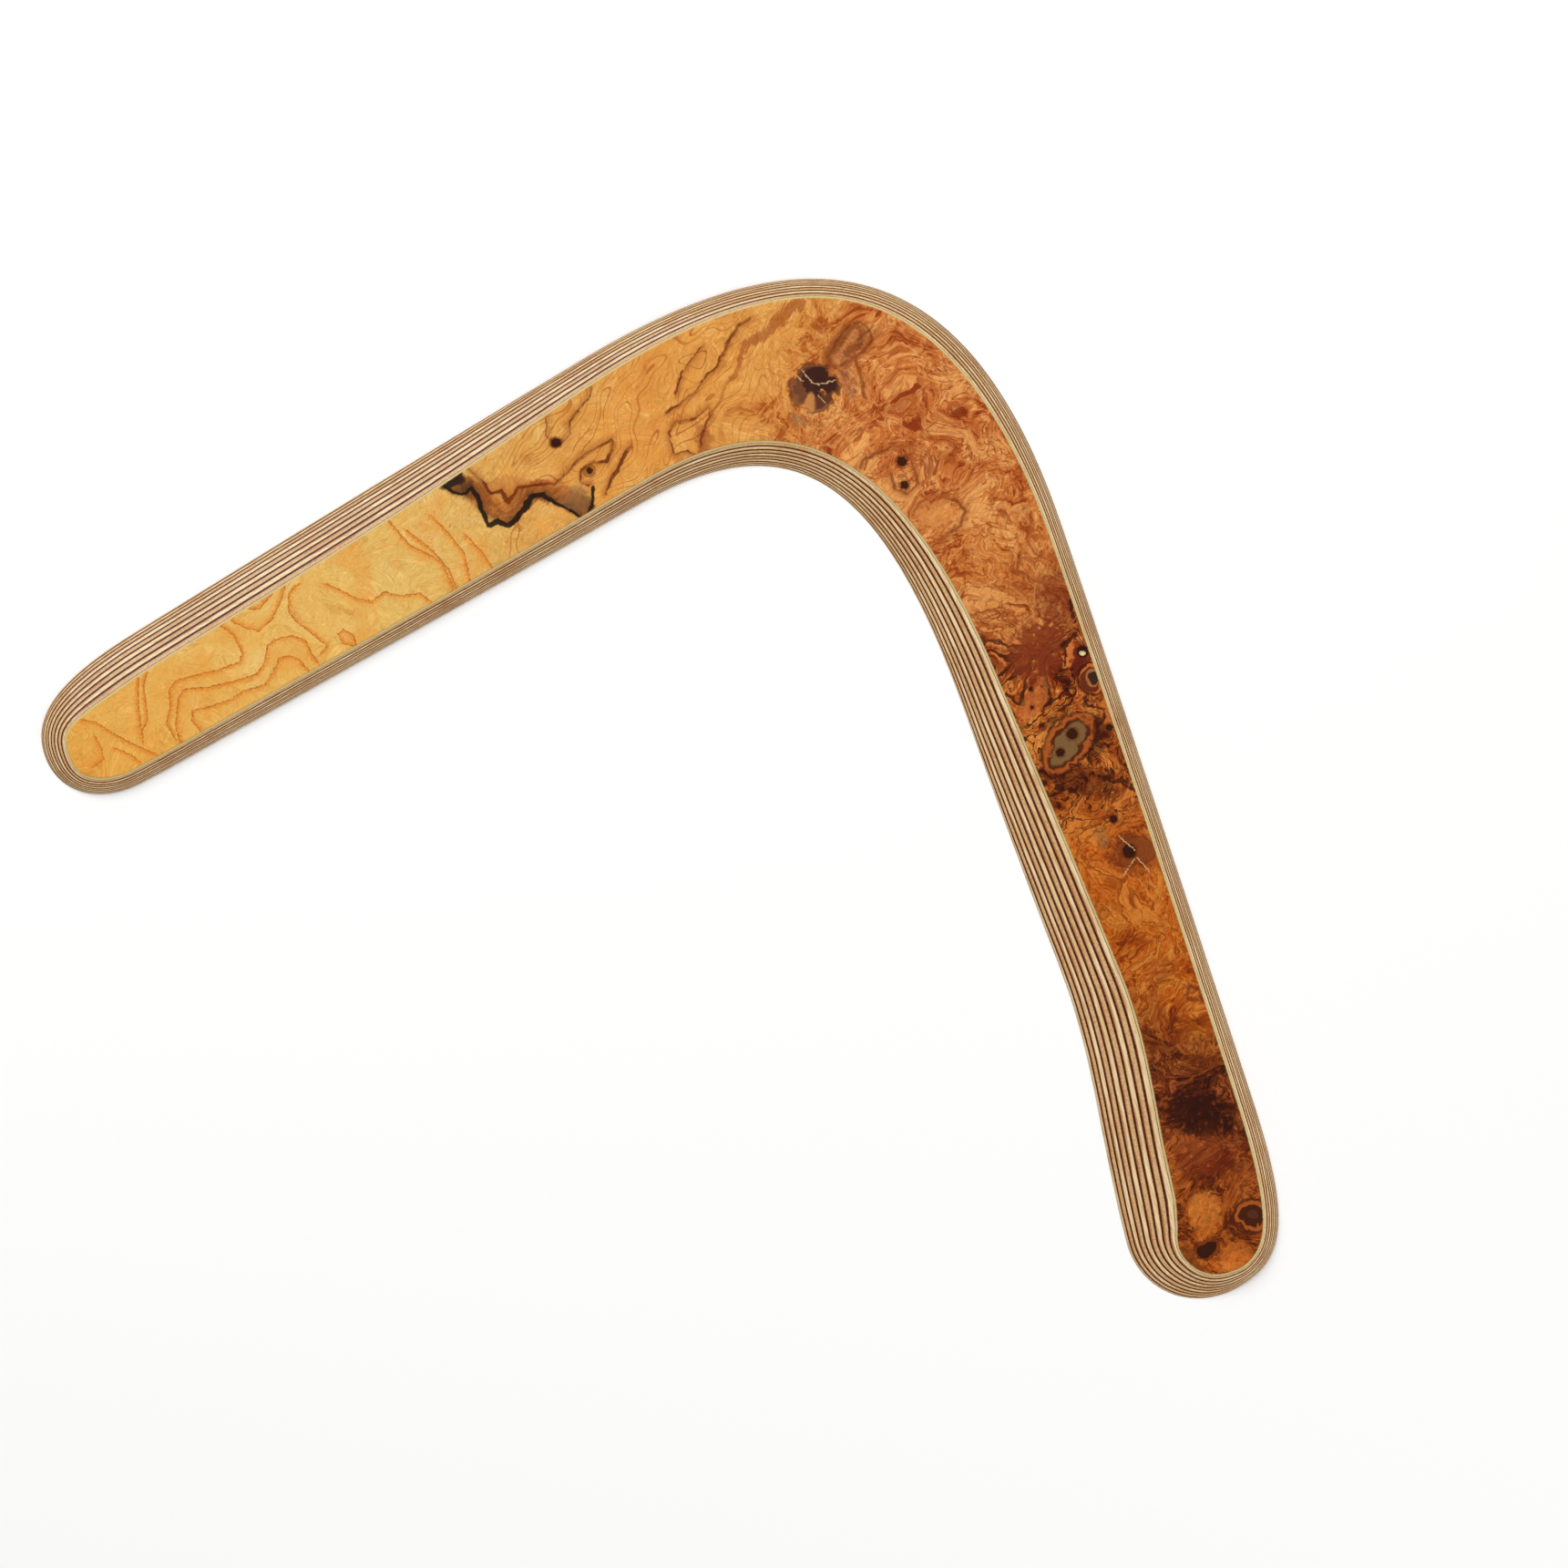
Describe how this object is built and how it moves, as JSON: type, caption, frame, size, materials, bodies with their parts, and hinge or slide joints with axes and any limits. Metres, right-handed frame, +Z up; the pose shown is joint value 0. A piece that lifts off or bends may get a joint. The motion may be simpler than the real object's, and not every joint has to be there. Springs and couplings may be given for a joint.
{
  "type": "boomerang",
  "caption": "Right-handed returning boomerang: bent plywood aerofoil with bevelled, visible plies, flat underside and a burl veneer face.",
  "frame": {"origin": "on the flat underside's plane, under the middle of the outline's box, which is in the open bay between the wings", "axes": "+Z up, out of the veneered face; +Y towards the elbow; +X towards the grip wing, -X towards the free wing"},
  "size_m": [0.4658, 0.3838, 0.0066],
  "materials": {
    "birch_long_grain": "pale birch with its grain along the length, sanded and coated with clear gloss lacquer",
    "birch_cross_grain": "birch with its grain across, end grain showing tan and brown flecks, clear gloss lacquer",
    "phenolic_glue": "dark brown phenolic plywood glue with slightly scorched edges, under lacquer",
    "veneer_glue": "thin amber wood glue under the veneer",
    "burl_veneer": "olive burl veneer, honey yellow to red brown with dark ink lines, eyes and knots, under clear gloss lacquer"
  },
  "bodies": {
    "root": {"birch_ply_1": "birch_long_grain", "glue_film_1": "phenolic_glue", "birch_ply_2": "birch_cross_grain", "glue_film_2": "phenolic_glue", "birch_ply_3": "birch_long_grain", "glue_film_3": "phenolic_glue", "birch_ply_4": "birch_cross_grain", "glue_film_4": "phenolic_glue", "birch_ply_5": "birch_long_grain", "glue_film_5": "phenolic_glue", "birch_ply_6": "birch_cross_grain", "glue_film_6": "phenolic_glue", "birch_ply_7": "birch_long_grain", "glue_film_7": "phenolic_glue", "birch_ply_8": "birch_cross_grain", "glue_film_8": "phenolic_glue", "birch_ply_9": "birch_long_grain", "veneer_glue": "veneer_glue", "burl_veneer": "burl_veneer"}
  },
  "joints": []
}
